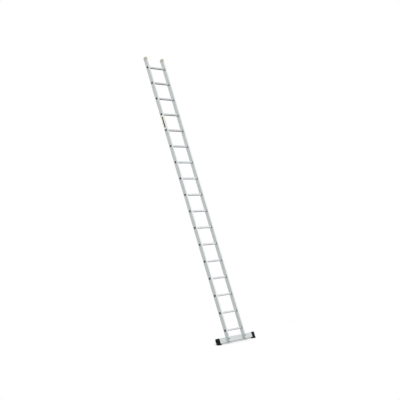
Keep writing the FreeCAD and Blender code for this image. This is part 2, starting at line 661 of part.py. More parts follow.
def make_rivets():
    """A blind rivet through the back of each foot cap into the bar."""
    body = new_body("foot_rivets")
    dome = new_sketch(body, "rivet_head_outline", "XZ_Plane")
    circle(dome, "head", "0", "0", "Sizes.rivet_head")
    head = pad(body, "rivet_head_disc", dome, "Sizes.rivet_rise", backwards=True)
    stem = new_sketch(body, "rivet_body_outline", "XZ_Plane")
    circle(stem, "body", "0", "0", "Sizes.rivet_radius")
    stem_length = "Sizes.foot_wall + Sizes.bar_wall + Sizes.rivet_tail"
    shank = pad(body, "rivet_body", stem, stem_length)
    span = "Sizes.bar_length - Sizes.foot_length"
    row_of(body, "rivet_pair", [head, shank], "X_Axis", span, "2")
    lean_back(
        body, x="(Sizes.foot_length - Sizes.bar_length) / 2", n=f"{BAR_BACK} + Sizes.foot_wall",
        s="Sizes.bar_height / 2",
    )


def make_label():
    """A thin label on the left stile's outer face, midway between two rungs."""
    body = new_body("label")
    outline = new_sketch(body, "label_outline", "YZ_Plane")
    rounded_rectangle(
        outline, "outside", "-Sizes.label_breadth / 2", "-Sizes.label_length / 2",
        "Sizes.label_breadth", "Sizes.label_length", "Sizes.label_corner",
    )
    pad(body, "label_sheet", outline, "Sizes.label_thickness", backwards=True)
    middle = "Sizes.first_rung + (Sizes.label_rung - 0.5) * Sizes.rung_pitch"
    lean_back(body, x="-Sizes.ladder_width / 2", n=RUNG_DEPTH, s=middle)


def make_ladder():
    for side, sign in SIDES:
        make_stile(side, sign)
        make_top_plug(side, sign)
        make_stile_plug(side, sign)
        make_rung_plugs(side, sign)
        make_foot_cap(side, sign)
        make_sole(side, sign)
    for number in range(1, RUNGS + 1):
        make_rung(number)
    make_stabiliser_bar()
    make_bolts()
    washer = "Sizes.washer_thickness"
    make_ring_pair("front_washers", "Sizes.washer_radius", f"-{washer}", washer)
    make_ring_pair("rear_washers", "Sizes.washer_radius", BAR_BACK, washer)
    make_ring_pair(
        "stile_spacers", "Sizes.spacer_radius", "Sizes.stile_wall",
        "Sizes.bar_front - Sizes.stile_wall",
    )
    make_ring_pair(
        "bar_spacers", "Sizes.spacer_radius", "Sizes.bar_front + Sizes.bar_wall",
        "Sizes.bar_depth - 2 * Sizes.bar_wall",
    )
    make_nuts()
    make_rivets()
    make_label()
    doc.recompute()


def check_and_export():
    """Writes every sub-part, after every object and shape has been found sound."""
    for thing in doc.Objects:
        if "Invalid" in thing.State or "Error" in thing.State:
            raise RuntimeError(f"{thing.Name} is {thing.State}")
    bodies = [thing for thing in doc.Objects if thing.TypeId == "PartDesign::Body"]
    for body in bodies:
        if body.Shape.isNull() or not body.Shape.isValid():
            raise RuntimeError(f"{body.Label} has no sound shape")
    os.makedirs("parts", exist_ok=True)
    for body in bodies:
        body.Shape.exportStep(f"parts/{body.Label}.step")
        box = body.Shape.BoundBox
        print(
            f"{body.Label}: {len(body.Shape.Solids)} solid(s), {body.Shape.Volume / 1000:.1f} cm3,"
            f" {box.XLength:.1f} x {box.YLength:.1f} x {box.ZLength:.1f} mm"
        )


make_sheet()
make_ladder()
check_and_export()
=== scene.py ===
"""The looks of a single-section aluminium leaning ladder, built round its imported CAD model.

Lengths are in metres. Most pieces are made in the ladder's own directions, as its CAD was drawn:
  x  sideways, from the ladder's middle
  n  depth, from the stiles' front faces towards the wall
  s  distance up the stiles, from their lower ends
and TO_WORLD then leans their meshes back into the row frame.
"""

import math

import bmesh
import bpy
from mathutils import Matrix, Vector


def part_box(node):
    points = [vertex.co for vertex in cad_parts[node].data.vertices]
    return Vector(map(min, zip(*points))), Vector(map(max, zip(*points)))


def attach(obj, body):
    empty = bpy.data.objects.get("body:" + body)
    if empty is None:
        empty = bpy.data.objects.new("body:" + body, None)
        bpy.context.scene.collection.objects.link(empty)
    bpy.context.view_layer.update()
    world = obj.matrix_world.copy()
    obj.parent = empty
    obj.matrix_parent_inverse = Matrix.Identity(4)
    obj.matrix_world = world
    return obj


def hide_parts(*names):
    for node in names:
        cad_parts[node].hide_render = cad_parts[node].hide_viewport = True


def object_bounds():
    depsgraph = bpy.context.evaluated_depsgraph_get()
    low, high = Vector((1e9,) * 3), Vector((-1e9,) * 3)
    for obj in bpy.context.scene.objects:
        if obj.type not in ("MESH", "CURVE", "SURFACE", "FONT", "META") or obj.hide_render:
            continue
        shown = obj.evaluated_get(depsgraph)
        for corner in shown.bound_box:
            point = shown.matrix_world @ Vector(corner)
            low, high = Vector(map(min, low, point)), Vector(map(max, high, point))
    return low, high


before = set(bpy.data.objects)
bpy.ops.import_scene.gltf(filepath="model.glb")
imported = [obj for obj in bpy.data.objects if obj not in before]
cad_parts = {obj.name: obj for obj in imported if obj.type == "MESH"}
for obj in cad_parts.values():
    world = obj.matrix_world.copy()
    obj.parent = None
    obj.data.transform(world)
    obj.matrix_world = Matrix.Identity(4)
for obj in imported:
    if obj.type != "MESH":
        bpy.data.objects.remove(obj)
cad_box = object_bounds()

MM = 0.001
SIDES = {"left": -1, "right": 1}
RUNGS = sorted(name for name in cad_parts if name.startswith("rung_") and name[-1].isdigit())


# --- The ladder's directions ---------------------------------------------------------------------


def middle(node):
    low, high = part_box(node)
    return (low + high) / 2


UP = (middle(RUNGS[-1]) - middle(RUNGS[0])).normalized()
SIDE = Vector((1, 0, 0))
BACK = UP.cross(SIDE)
LEAN = math.atan2(-BACK.z, BACK.y)
STILE_POINTS = [vertex.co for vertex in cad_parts["stile_left"].data.vertices]
LADDER_ORIGIN = (
    BACK * min(point.dot(BACK) for point in STILE_POINTS)
    + UP * min(point.dot(UP) for point in STILE_POINTS)
)
TO_WORLD = Matrix.Translation(LADDER_ORIGIN) @ Matrix((SIDE, BACK, UP)).transposed().to_4x4()
TO_LADDER = TO_WORLD.inverted()


def extent(node):
    """The node's lowest and highest corner in x, n, s."""
    points = [TO_LADDER @ vertex.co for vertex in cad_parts[node].data.vertices]
    low = Vector([min(point[axis] for point in points) for axis in range(3)])
    high = Vector([max(point[axis] for point in points) for axis in range(3)])
    return low, high


# --- Mesh tools ----------------------------------------------------------------------------------


SMOOTH_ANGLE = math.radians(32)


def rounded_outline(width, height, radius, turn_steps, side_steps=1):
    """Points round a rectangle with rounded corners, about the origin. Its two sides that run
    along the second axis have side_steps divisions, and the other two have a point halfway. The
    first halfway point is number turn_steps + 1, and the outline is symmetric about it."""
    points = []
    for quarter in range(4):
        centre = (
            (width / 2 - radius) * (1 if quarter in (0, 3) else -1),
            (height / 2 - radius) * (1 if quarter in (0, 1) else -1),
        )
        for step in range(turn_steps + 1):
            angle = (quarter + step / turn_steps) * math.pi / 2
            points.append(
                (centre[0] + radius * math.cos(angle), centre[1] + radius * math.sin(angle))
            )
        divisions = 2 if quarter in (0, 2) else side_steps
        start = points[-1]
        across = (-start[0], start[1]) if quarter in (0, 2) else (start[0], -start[1])
        for step in range(1, divisions):
            share = step / divisions
            points.append(
                (
                    start[0] + (across[0] - start[0]) * share,
                    start[1] + (across[1] - start[1]) * share,
                )
            )
    return points


def loft(mesh, rings, closed=False):
    """Joins each ring of points to the next with four-sided faces. Returns the rings' vertices."""
    rows = [[mesh.verts.new(point) for point in ring] for ring in rings]
    pairs = list(zip(rows, rows[1:]))
    if closed:
        pairs.append((rows[-1], rows[0]))
    for row, following in pairs:
        for index in range(len(row)):
            after = (index + 1) % len(row)
            mesh.faces.new((row[index], row[after], following[after], following[index]))
    return rows


def zip_shut(mesh, ring, start):
    """Closes a ring that is symmetric about its vertex start, with faces from side to side."""
    count = len(ring)
    for step in range(count // 2):
        one_side = [ring[(start + step) % count], ring[(start + step + 1) % count]]
        other_side = [ring[(start - step - 1) % count], ring[(start - step) % count]]
        mesh.faces.new(list(dict.fromkeys(one_side + other_side)))


def close_ends(mesh, rows, start):
    """Closes the first and the last ring of a loft, each symmetric about its vertex start."""
    for row in (rows[0], rows[-1]):
        zip_shut(mesh, row, start)


def make_piece(name, mesh, material, nodes):
    """Turns a bmesh in ladder directions into a piece that stands for the CAD nodes."""
    bmesh.ops.recalc_face_normals(mesh, faces=mesh.faces)
    data = bpy.data.meshes.new(name)
    mesh.to_mesh(data)
    mesh.free()
    data.transform(TO_WORLD)
    data.shade_smooth()
    data.set_sharp_from_angle(angle=SMOOTH_ANGLE)
    data.materials.append(material)
    piece = bpy.data.objects.new(name, data)
    bpy.context.scene.collection.objects.link(piece)
    piece.modifiers.new("even_shading", "WEIGHTED_NORMAL").keep_sharp = True
    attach(piece, "root")
    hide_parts(*nodes)
    return piece


# --- Material tools ------------------------------------------------------------------------------


def add(tree, kind, inputs=None, **settings):
    """Adds a shader node. An input's value is a number, a colour or the socket to link it to."""
    node = tree.nodes.new("ShaderNode" + kind)
    for name, value in settings.items():
        setattr(node, name, value)
    for name, value in (inputs or {}).items():
        if isinstance(value, bpy.types.NodeSocket):
            tree.links.new(value, node.inputs[name])
        else:
            node.inputs[name].default_value = value
    return node


def new_material(name):
    material = bpy.data.materials.new(name)
    material.use_nodes = True
    return material, material.node_tree, material.node_tree.nodes["Principled BSDF"]


def connect(tree, shader, **sockets):
    """Links sockets to the shader's inputs, named with _ for each space."""
    for name, socket in sockets.items():
        tree.links.new(socket, shader.inputs[name.replace("_", " ")])


def place(tree, origin=None):
    """The point being shaded, in ladder directions, measured from origin in the row frame."""
    origin = LADDER_ORIGIN if origin is None else origin
    shift = -(Matrix.Rotation(LEAN, 3, "X") @ origin)
    where = add(tree, "TexCoord").outputs["Object"]
    turned = add(
        tree, "Mapping", {"Vector": where, "Rotation": (LEAN, 0, 0), "Location": shift}
    )
    return turned.outputs["Vector"]


def noise(tree, where, size, detail=3.0, stretch=(1, 1, 1), distortion=0.0):
    """Noise with features of about the given size, each stretched along x, n and s."""
    scale = [1 / (size * factor) for factor in stretch]
    scaled = add(tree, "Mapping", {"Vector": where, "Scale": scale}).outputs["Vector"]
    texture = add(
        tree, "TexNoise",
        {"Vector": scaled, "Scale": 1.0, "Detail": detail, "Distortion": distortion},
    )
    return texture.outputs["Fac"]


def remap(tree, value, low, high, out_low=0.0, out_high=1.0):
    """Takes low to high on to out_low to out_high, and holds still past either end."""
    inputs = {"Value": value, 1: low, 2: high, 3: out_low, 4: out_high}
    return add(tree, "MapRange", inputs).outputs["Result"]


def maths(tree, operation, first, second=0.0):
    """One operation on one or two numbers or sockets."""
    return add(tree, "Math", {0: first, 1: second}, operation=operation).outputs["Value"]


def blend(tree, share, first, second):
    """Mixes two colours. In a Mix node of colours, inputs 6 and 7 are A and B."""
    inputs = {"Factor": share, 6: first, 7: second}
    return add(tree, "Mix", inputs, data_type="RGBA").outputs[2]


def grey(value, warmth=0.0):
    """A grey, towards yellow for a positive warmth and towards blue for a negative one."""
    return (value * (1 + warmth), value, value * (1 - warmth), 1)


# --- Materials -----------------------------------------------------------------------------------


def aluminium(name, along, tone, roughness, worked=False):
    """Mill-finish extruded aluminium: fine die lines along the extrusion, a cloudy oxide film,
    handling marks and a few fine scratches. A worked one is darkened in its grooves by grime and
    painted shade, and darkened where it has been crimped by painted shade and some soil."""
    material, tree, shader = new_material(name)
    where = place(tree)
    lines_stretch = {"s": (1, 1, 900), "x": (900, 1, 1)}[along]
    bands_stretch = {"s": (1, 1, 60), "x": (60, 1, 1)}[along]
    scratch_stretch = {"s": (1, 5, 22), "x": (22, 5, 1)}[along]
    lines = noise(tree, where, 0.5 * MM, 2.0, lines_stretch)
    bands = noise(tree, where, 7 * MM, 2.0, bands_stretch)
    film = noise(tree, where, 110 * MM, 5.0, distortion=0.6)
    marks = noise(tree, where, 24 * MM, 6.0, distortion=1.2)
    scratches = remap(tree, noise(tree, where, 2.2 * MM, 1.0, scratch_stretch), 0.72, 0.78)

    def shade(factor):
        """The metal's cool grey, lighter or darker."""
        return (tone * factor * 0.955, tone * factor, tone * factor * 1.005, 1)

    colour = blend(tree, remap(tree, film, 0.35, 0.68), shade(0.965), shade(1.03))
    colour = blend(tree, remap(tree, lines, 0.3, 0.7, 0, 0.14), colour, shade(0.78))
    colour = blend(tree, remap(tree, bands, 0.45, 0.75, 0, 0.2), colour, shade(1.06))
    colour = blend(tree, remap(tree, marks, 0.62, 0.76, 0, 0.16), colour, shade(0.82))
    colour = blend(tree, remap(tree, scratches, 0, 1, 0, 0.5), colour, shade(1.12))
    rough = remap(tree, film, 0.3, 0.7, roughness - 0.03, roughness + 0.03)
    rough = maths(tree, "ADD", rough, remap(tree, marks, 0.58, 0.76, 0, 0.06))
    rough = maths(tree, "SUBTRACT", rough, remap(tree, scratches, 0, 1, 0, 0.08))
    if worked:
        groove = add(tree, "Attribute", attribute_name="groove").outputs["Fac"]
        crimp = add(tree, "Attribute", attribute_name="crimp").outputs["Fac"]
        # Grime and painted shade: the grooves' bottoms are darkened as if shade fell in them.
        grime = maths(tree, "MULTIPLY", groove, remap(tree, marks, 0.3, 0.7, 0.35, 0.7))
        # Painted shade with some soil: the crimped bead and the rolled end are darkened as if in
        # the shade of the stile and of the plug's hollow.
        painted_shade_and_soil_at_crimps = maths(tree, "MULTIPLY", crimp, remap(tree, marks, 0.3, 0.7, 0.75, 0.95))
        colour = blend(tree, grime, colour, shade(0.22))
        colour = blend(tree, painted_shade_and_soil_at_crimps, colour, shade(0.12))
        rough = maths(tree, "ADD", rough, remap(tree, groove, 0, 1, 0, 0.2))
        rough = maths(tree, "ADD", rough, remap(tree, crimp, 0, 1, 0, 0.2))
    relief = add(
        tree, "Bump",
        {"Strength": 0.2, "Distance": 0.05 * MM, "Height": maths(tree, "ADD", lines, bands)},
    )
    shader.inputs["Metallic"].default_value = 1.0
    connect(tree, shader, Base_Color=colour, Roughness=rough, Normal=relief.outputs["Normal"])
    return material


def plastic(name, colour, roughness, gloss):
    """Moulded plastic: an even spark-eroded grain, slight flow shading and paler scuffs."""
    material, tree, shader = new_material(name)
    where = place(tree)
    texture = noise(tree, where, 0.35 * MM, 2.0)
    flow = noise(tree, where, 45 * MM, 3.0, distortion=0.8)
    scuffs = remap(tree, noise(tree, where, 6 * MM, 6.0, (1, 1, 2.5)), 0.62, 0.74)
    pale = [min(channel * 1.3 + 0.02, 1.0) for channel in colour[:3]] + [1]
    dark = [channel * 0.86 for channel in colour[:3]] + [1]
    shade = blend(tree, remap(tree, flow, 0.35, 0.7), dark, colour)
    shade = blend(tree, remap(tree, scuffs, 0, 1, 0, 0.3), shade, pale)
    rough = remap(tree, flow, 0.3, 0.7, roughness - 0.06, roughness + 0.06)
    rough = maths(tree, "ADD", rough, remap(tree, scuffs, 0, 1, 0, 0.15))
    relief = add(tree, "Bump", {"Strength": 0.3, "Distance": 0.06 * MM, "Height": texture})
    shader.inputs["Specular IOR Level"].default_value = gloss
    connect(tree, shader, Base_Color=shade, Roughness=rough, Normal=relief.outputs["Normal"])
    return material


def rubber(name, dust_height):
    """Black rubber with a fine sandy surface, dusty from the floor up to dust_height."""
    material, tree, shader = new_material(name)
    where = add(tree, "TexCoord").outputs["Object"]
    height = add(tree, "SeparateXYZ", {"Vector": where}).outputs["Z"]
    sand = noise(tree, where, 0.6 * MM, 3.0)
    patches = noise(tree, where, 9 * MM, 5.0, distortion=0.7)
    settled = remap(tree, height, 0, dust_height, 0.4, 0)
    dust = maths(tree, "MULTIPLY", settled, remap(tree, patches, 0.35, 0.65))
    colour = blend(tree, remap(tree, patches, 0.3, 0.7), grey(0.007), grey(0.012, 0.02))
    colour = blend(tree, dust, colour, grey(0.12, 0.09))
    rough = remap(tree, patches, 0.3, 0.7, 0.72, 0.88)
    shader.inputs["Specular IOR Level"].default_value = 0.25
    relief = add(tree, "Bump", {"Strength": 0.45, "Distance": 0.12 * MM, "Height": sand})
    connect(tree, shader, Base_Color=colour, Roughness=rough, Normal=relief.outputs["Normal"])
    return material


def plated_steel(name, tone, tint, roughness):
    """Zinc-plated steel: a mottled passivated film over faint turning lines."""
    material, tree, shader = new_material(name)
    where = place(tree)
    mottle = noise(tree, where, 2.5 * MM, 4.0, distortion=0.5)
    film = noise(tree, where, 9 * MM, 3.0)
    turning = noise(tree, where, 0.25 * MM, 2.0, (1, 12, 1))
    colour = blend(tree, remap(tree, mottle, 0.35, 0.65), grey(tone * 0.82), grey(tone * 1.1))
    colour = blend(tree, remap(tree, film, 0.45, 0.7, 0, 0.5), colour, tint)
    rough = remap(tree, mottle, 0.3, 0.7, roughness - 0.06, roughness + 0.1)
    relief = add(tree, "Bump", {"Strength": 0.2, "Distance": 0.03 * MM, "Height": turning})
    shader.inputs["Metallic"].default_value = 1.0
    connect(tree, shader, Base_Color=colour, Roughness=rough, Normal=relief.outputs["Normal"])
    return material


def label_vinyl(name, node):
    """A printed vinyl label with no words: cream ground, charcoal band, amber chevrons."""
    cream = (0.97, 0.96, 0.86, 1)
    aged_cream = (0.93, 0.9, 0.76, 1)
    ochre = (0.62, 0.5, 0.16, 1)
    charcoal = (0.022, 0.019, 0.012, 1)
    amber = (0.36, 0.29, 0.12, 1)
    print_edge = 0.4 * MM
    band_half = 13 * MM
    band_margin = 15 * MM
    chevron_pitch = 9 * MM
    chevron_gap = 0.55
    patch_middle = 44 * MM
    patch_half = 16 * MM
    frame_margin = 3 * MM
    material, tree, shader = new_material(name)
    low, high = extent(node)
    half_breadth = (high.y - low.y) / 2
    half_length = (high.z - low.z) / 2
    centre = TO_WORLD @ ((low + high) / 2)
    parts = add(tree, "SeparateXYZ", {"Vector": place(tree, centre)})
    aside = maths(tree, "ABSOLUTE", parts.outputs["Y"])
    along = parts.outputs["Z"]

    def within(value, half):
        """1 where the value's size is under half, and 0 past it."""
        size = maths(tree, "ABSOLUTE", value)
        return remap(tree, size, half - print_edge, half + print_edge, 1, 0)

    band = maths(
        tree, "MULTIPLY", within(aside, band_half), within(along, half_length - band_margin)
    )
    slanted = maths(tree, "ADD", along, aside)
    phase = maths(tree, "FRACT", maths(tree, "DIVIDE", slanted, chevron_pitch))
    stripes = maths(tree, "GREATER_THAN", phase, chevron_gap)
    patch = within(maths(tree, "SUBTRACT", along, patch_middle), patch_half)
    chevrons = maths(tree, "MULTIPLY", maths(tree, "MULTIPLY", stripes, patch), band)
    frame_line = maths(
        tree, "SUBTRACT", 1.0,
        maths(
            tree, "MULTIPLY", within(aside, half_breadth - frame_margin),
            within(along, half_length - frame_margin),
        ),
    )
    where = place(tree)
    fading = noise(tree, where, 30 * MM, 4.0)
    grime = remap(tree, noise(tree, where, 5 * MM, 6.0, distortion=0.8), 0.6, 0.75)
    ground = blend(tree, remap(tree, fading, 0.3, 0.7), aged_cream, cream)
    colour = blend(tree, maths(tree, "MULTIPLY", frame_line, 0.35), ground, ochre)
    colour = blend(tree, band, colour, charcoal)
    colour = blend(tree, chevrons, colour, amber)
    colour = blend(tree, remap(tree, grime, 0, 1, 0, 0.12), colour, grey(0.3, 0.08))
    rough = remap(tree, fading, 0.3, 0.7, 0.32, 0.46)
    relief = add(
        tree, "Bump",
        {"Strength": 0.1, "Distance": 0.05 * MM, "Height": noise(tree, where, 1.2 * MM)},
    )
    connect(tree, shader, Base_Color=colour, Roughness=rough, Normal=relief.outputs["Normal"])
    return material


STILE_METAL = aluminium("stile_aluminium", "s", tone=0.78, roughness=0.32)
RUNG_METAL = aluminium("rung_aluminium", "x", tone=0.8, roughness=0.16, worked=True)
BAR_METAL = aluminium("bar_aluminium", "x", tone=0.7, roughness=0.36)
TOP_PLASTIC = plastic("top_plug_plastic", (0.56, 0.57, 0.47, 1), roughness=0.5, gloss=0.5)
BLACK_PLASTIC = plastic("black_plastic", (0.006, 0.006, 0.0065, 1), roughness=0.5, gloss=0.1)
SOLE_RUBBER = rubber("black_rubber", dust_height=14 * MM)
DARK_STEEL = plated_steel(
    "dark_zinc_steel", tone=0.12, tint=(0.1, 0.085, 0.06, 1), roughness=0.36
)
BRIGHT_STEEL = plated_steel("zinc_steel", tone=0.62, tint=(0.6, 0.57, 0.42, 1), roughness=0.3)
RIVET_METAL = plated_steel(
    "rivet_aluminium", tone=0.7, tint=(0.66, 0.66, 0.64, 1), roughness=0.32
)
LABEL_VINYL = label_vinyl("label_vinyl", "label")


# --- Rungs ---------------------------------------------------------------------------------------


RUNG_LOW, RUNG_HIGH = extent(RUNGS[0])
CRIMP_RISE = 2.2 * MM
BEAD_LENGTH = 2.4 * MM
BEAD_FULLNESS = 0.6
ROLL_FULLNESS = 0.7
GROOVES_FADE = 6 * MM
GROOVES_HALF_FADED = 1 * MM
RUNG_HALF = (RUNG_HIGH.y - RUNG_LOW.y) / 2 - CRIMP_RISE
RUNG_TURN = 3 * MM
RUNG_WALL = 1.6 * MM
GROOVES = 5
GROOVE_PITCH = 4.2 * MM
GROOVE_DEPTH = 0.7 * MM
GROOVE_SHAPE = ((-0.95, 0), (-0.72, 0.2), (-0.55, 1), (0.55, 1), (0.72, 0.2), (0.95, 0))


def rung_outline(swell, share):
    """The grooved square, swollen outwards by swell, with the grooves at a share of their depth.
    Gives each point's two coordinates and how deep in a groove it is, from 0 to 1."""
    reach = RUNG_HALF + swell
    side = []
    for groove in range(GROOVES):
        centre = (groove - (GROOVES - 1) / 2) * GROOVE_PITCH
        for offset, depth in GROOVE_SHAPE:
            side.append((centre + offset * MM, reach - depth * share * GROOVE_DEPTH, depth * share))
    centre = RUNG_HALF - RUNG_TURN
    turn_steps = 4
    for step in range(turn_steps + 1):
        angle = math.pi / 2 * (1 - step / turn_steps)
        side.append(
            (
                centre + (RUNG_TURN + swell) * math.cos(angle),
                centre + (RUNG_TURN + swell) * math.sin(angle),
                0,
            )
        )
    points = []
    for quarter in range(4):
        cosine, sine = ((1, 0), (0, -1), (-1, 0), (0, 1))[quarter]
        for a, b, depth in side:
            points.append((a * cosine - b * sine, a * sine + b * cosine, depth))
    return points


def rung_profile():
    """Half of the rung, from its middle to one end and back inside: x, swell, the grooves' share of
    their depth and how crimped it is. A bead bears on the stile's inner face, and the end is rolled
    over its outer face. Both are half sine waves, and a fullness under 1 makes them blunter."""
    stile_low, stile_high = extent("stile_right")
    bead_start = stile_low.x - BEAD_LENGTH
    profile = [
        (bead_start - GROOVES_FADE, 0, 1, 0),
        (bead_start - GROOVES_HALF_FADED, 0, 0.5, 0.3),
        (bead_start, 0, 0, 1),
    ]
    bead_steps = 6
    for step in range(1, bead_steps):
        share = step / bead_steps
        swell = CRIMP_RISE * math.sin(math.pi * share) ** BEAD_FULLNESS
        profile.append((bead_start + BEAD_LENGTH * share, swell, 0, 1))
    profile += [(stile_low.x, 0, 0, 1), (stile_high.x, 0, 0, 1)]
    roll_steps = 5
    lip = (CRIMP_RISE + RUNG_WALL) / 2
    lip_middle = (CRIMP_RISE - RUNG_WALL) / 2
    for step in range(roll_steps + 1):
        angle = math.pi * step / roll_steps
        out = (RUNG_HIGH.x - stile_high.x) * math.sin(angle) ** ROLL_FULLNESS
        profile.append((stile_high.x + out, lip_middle + lip * math.cos(angle), 0, 1))
    return profile


def make_rung(name):
    """An extruded rung: a square tube with ribbed treads, crimped and rolled at both stiles."""
    low, high = extent(name)
    axis = (low + high) / 2
    half = rung_profile()
    whole = half + [(-x, swell, share, crimped) for x, swell, share, crimped in reversed(half)]
    mesh = bmesh.new()
    # groove: how deep each point lies in a groove, where the metal paints grime and shade.
    groove = mesh.verts.layers.float.new("groove")
    # crimp: the crimped bead and rolled end, where the metal paints shade and some soil.
    crimp = mesh.verts.layers.float.new("crimp")
    rings = []
    groove_and_crimp_marks = []
    for x, swell, share, crimped in whole:
        outline = rung_outline(swell, share)
        rings.append([(x, axis.y + a, axis.z + b) for a, b, depth in outline])
        groove_and_crimp_marks.append([(depth, crimped) for a, b, depth in outline])
    rows = loft(mesh, rings, closed=True)
    for row, ring_marks in zip(rows, groove_and_crimp_marks):
        for vertex, (depth, crimped) in zip(row, ring_marks):
            vertex[groove] = depth
            vertex[crimp] = crimped
    make_piece(f"grooved_{name}", mesh, RUNG_METAL, [name])


for rung in RUNGS:
    make_rung(rung)


# --- Rung plugs ----------------------------------------------------------------------------------


def centred(points, x, n, s, normal):
    """Puts an outline of pairs about x, n, s, in the plane across the given axis: 0, 1 or 2."""
    return [
        {
            0: (x, n + first, s + second),
            1: (x + first, n, s + second),
            2: (x + first, n + second, s),
        }[normal]
        for first, second in points
    ]


def make_rung_plugs(side, sign):
    """A cup-shaped plug in every rung's end. Each has a rounded rim and a sunk face with a small
    raised square."""
    node = f"rung_plugs_{side}"
    low, high = extent(node)
    face = high.x if sign > 0 else low.x
    depth = high.x - low.x
    half = (high.y - low.y) / 2
    turn = 1.4 * MM
    least_turn = 0.3 * MM
    turn_steps = 4
    rim = 0.5 * MM
    face_sunk = 0.9 * MM
    square_sunk = 0.5 * MM
    wall = 1.5 * MM
    face_thickness = 2.5 * MM
    outside = (
        (depth, -0.6 * MM), (depth - 1 * MM, 0), (rim, 0), (0.15 * MM, -0.15 * MM), (0, -rim),
        (0, -1.9 * MM), (0.3 * MM, -2.2 * MM), (face_sunk, -2.4 * MM), (face_sunk, -6.8 * MM),
        (square_sunk, -7.1 * MM), (square_sunk, -11 * MM),
    )
    inside = ((depth, -wall), (face_thickness, -wall))
    mesh = bmesh.new()
    for rung in RUNGS:
        corners = extent(rung)
        axis = (corners[0] + corners[1]) / 2
        rings = []
        for inwards, swell in [*reversed(inside), *outside]:
            size = 2 * (half + swell)
            corner = max(turn + swell, least_turn)
            outline = rounded_outline(size, size, corner, turn_steps)
            rings.append(centred(outline, face - sign * inwards, axis.y, axis.z, 0))
        close_ends(mesh, loft(mesh, rings), turn_steps + 1)
    make_piece(f"moulded_{node}", mesh, BLACK_PLASTIC, [node])


for side, sign in SIDES.items():
    make_rung_plugs(side, sign)


# --- The stiles' end plugs -----------------------------------------------------------------------


INSERT_INSET = 1.95 * MM


def make_top_plug(side):
    """A head flush with the stile, with a groove round it, whose top is an arch from front to back,
    over an insert that grips inside the stile and is hollow from below."""
    node = f"top_plug_{side}"
    low, high = extent(node)
    centre = (low + high) / 2
    width = high.x - low.x
    depth = high.y - low.y
    stile_top = extent(f"stile_{side}")[1].z
    turn = 2.5 * MM
    least_turn = 0.6 * MM
    turn_steps = 6
    side_steps = 18
    edge_steps = 6
    arch = 48 * MM
    arch_centre = high.z - arch
    crown_insets = (10 * MM, 7 * MM, 4 * MM)
    groove = stile_top + 5 * MM
    groove_half = 0.9 * MM
    groove_floor_half = 0.5 * MM
    groove_depth = 0.6 * MM
    taper_start = low.z + 8 * MM
    hollow_inset = INSERT_INSET + 2 * MM
    hollow_top = stile_top + 36 * MM

    def ring(inset, height, corner):
        outline = rounded_outline(
            width - 2 * inset, depth - 2 * inset, max(corner, least_turn), turn_steps, side_steps
        )
        return [(centre.x + a, centre.y + b, height(b)) for a, b in outline]

    def dome(inset):
        """The arch's height over each depth, falling away in a quarter round at its edges."""
        edge = max(turn - inset, 0)
        fall = turn - math.sqrt(turn ** 2 - edge ** 2)
        return lambda b: arch_centre + math.sqrt(arch ** 2 - b ** 2) - fall

    def level(height):
        return lambda b: height

    rings = [ring(inset, dome(inset), 0) for inset in crown_insets]
    for step in range(edge_steps + 1):
        inset = turn * (1 - math.sin(math.pi / 2 * step / edge_steps))
        rings.append(ring(inset, dome(inset), turn - inset))
    for inset, height in (
        (0, groove + groove_half), (groove_depth, groove + groove_floor_half),
        (groove_depth, groove - groove_floor_half), (0, groove - groove_half),
        (0, stile_top + 0.5 * MM), (0.35 * MM, stile_top + 0.1 * MM), (INSERT_INSET, stile_top),
        (INSERT_INSET, taper_start), (INSERT_INSET + 0.8 * MM, low.z), (hollow_inset, low.z),
        (hollow_inset, hollow_top),
    ):
        rings.append(ring(inset, level(height), turn - inset))
    mesh = bmesh.new()
    close_ends(mesh, loft(mesh, rings), turn_steps + 1)
    make_piece(f"moulded_{node}", mesh, TOP_PLASTIC, [node])


def make_stile_plug(side):
    """A flange across the stile's open lower end, and a tapered insert that grips inside it."""
    node = f"stile_plug_{side}"
    low, high = extent(node)
    centre = (low + high) / 2
    width = high.x - low.x
    depth = high.y - low.y
    turn = 1.2 * MM
    turn_steps = 4
    taper_length = 5 * MM
    taper_inset = INSERT_INSET + 1 * MM
    rings = []
    for inset, s in (
        (0.9 * MM, low.z), (0.25 * MM, low.z + 0.25 * MM), (0, low.z + 0.8 * MM), (0, -0.2 * MM),
        (0.2 * MM, 0), (INSERT_INSET, 0), (INSERT_INSET, high.z - taper_length),
        (taper_inset, high.z),
    ):
        outline = rounded_outline(width - 2 * inset, depth - 2 * inset, turn, turn_steps)
        rings.append(centred(outline, centre.x, centre.y, s, 2))
    mesh = bmesh.new()
    close_ends(mesh, loft(mesh, rings), turn_steps + 1)
    make_piece(f"moulded_{node}", mesh, BLACK_PLASTIC, [node])


for side in SIDES:
    make_top_plug(side)
    make_stile_plug(side)


# --- Feet ----------------------------------------------------------------------------------------


